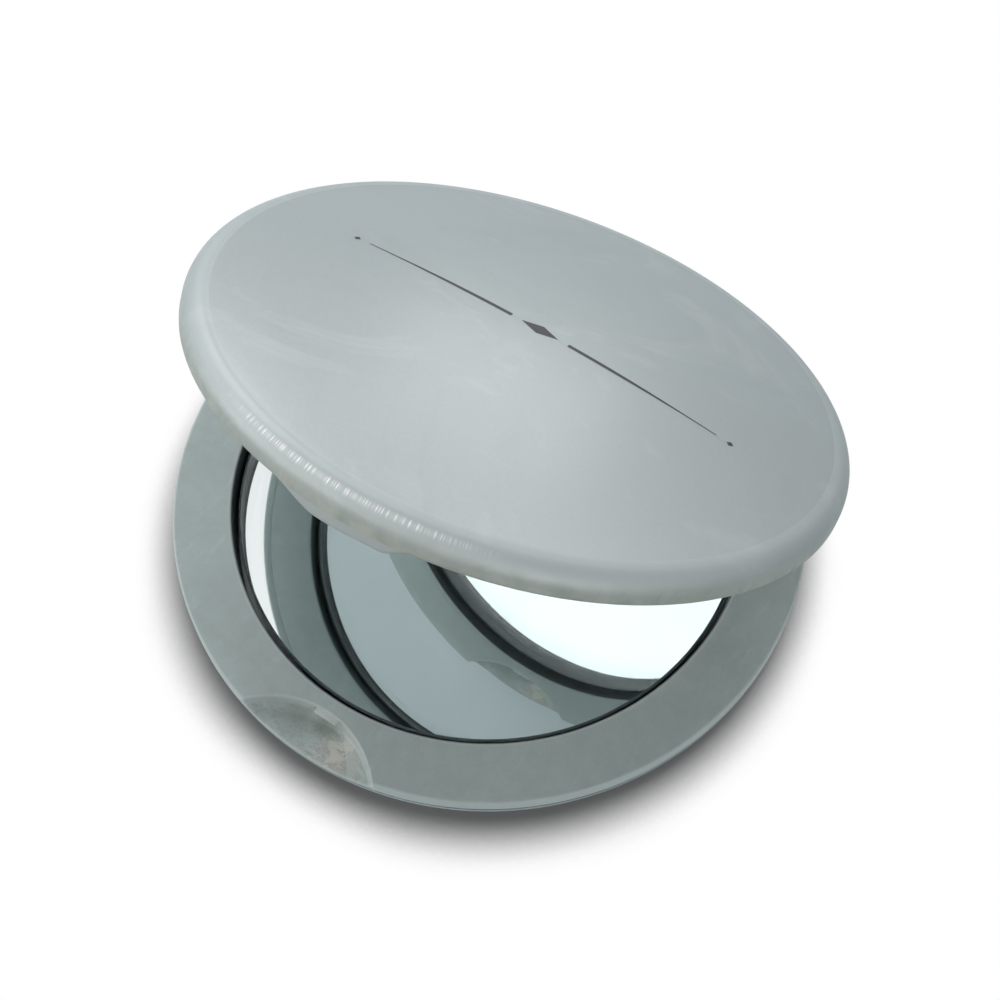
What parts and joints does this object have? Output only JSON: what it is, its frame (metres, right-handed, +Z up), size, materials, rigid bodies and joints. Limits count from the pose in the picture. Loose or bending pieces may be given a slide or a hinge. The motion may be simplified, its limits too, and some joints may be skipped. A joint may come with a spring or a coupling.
{
  "type": "compact mirror",
  "caption": "Round folding pocket mirror: a crowned lid and a shallow base on a rear hinge, each holding a mirror, with a scooped thumb notch at the front.",
  "frame": {"origin": "centre of the flat foot under the base, on the plane it rests on", "axes": "+Z up through the base, +Y towards the hinge, -Y towards the thumb notch, +X along the hinge"},
  "size_m": [0.0704, 0.0725, 0.0431],
  "materials": {
    "pearl_plastic": "pearl grey lacquer, glossy",
    "satin_plastic": "cool grey moulded plastic, satin",
    "silvered_glass": "silvered glass with a bevelled edge",
    "black_foam": "adhesive foam",
    "steel": "drawn wire"
  },
  "bodies": {
    "base": {"base_shell": "pearl_plastic", "base_frame": "satin_plastic", "base_mirror": "silvered_glass", "base_mirror_pad": "black_foam", "hinge_pin": "steel"},
    "lid": {"lid_shell": "pearl_plastic", "lid_frame": "satin_plastic", "lid_mirror": "silvered_glass", "lid_mirror_pad": "black_foam"}
  },
  "joints": [
    {"name": "lid_hinge", "type": "hinge", "parent": "base", "child": "lid", "pos_m": [0, 0.033, 0.0032], "axis": [-1, 0, 0], "range_deg": [-30.9, 149.1]}
  ]
}
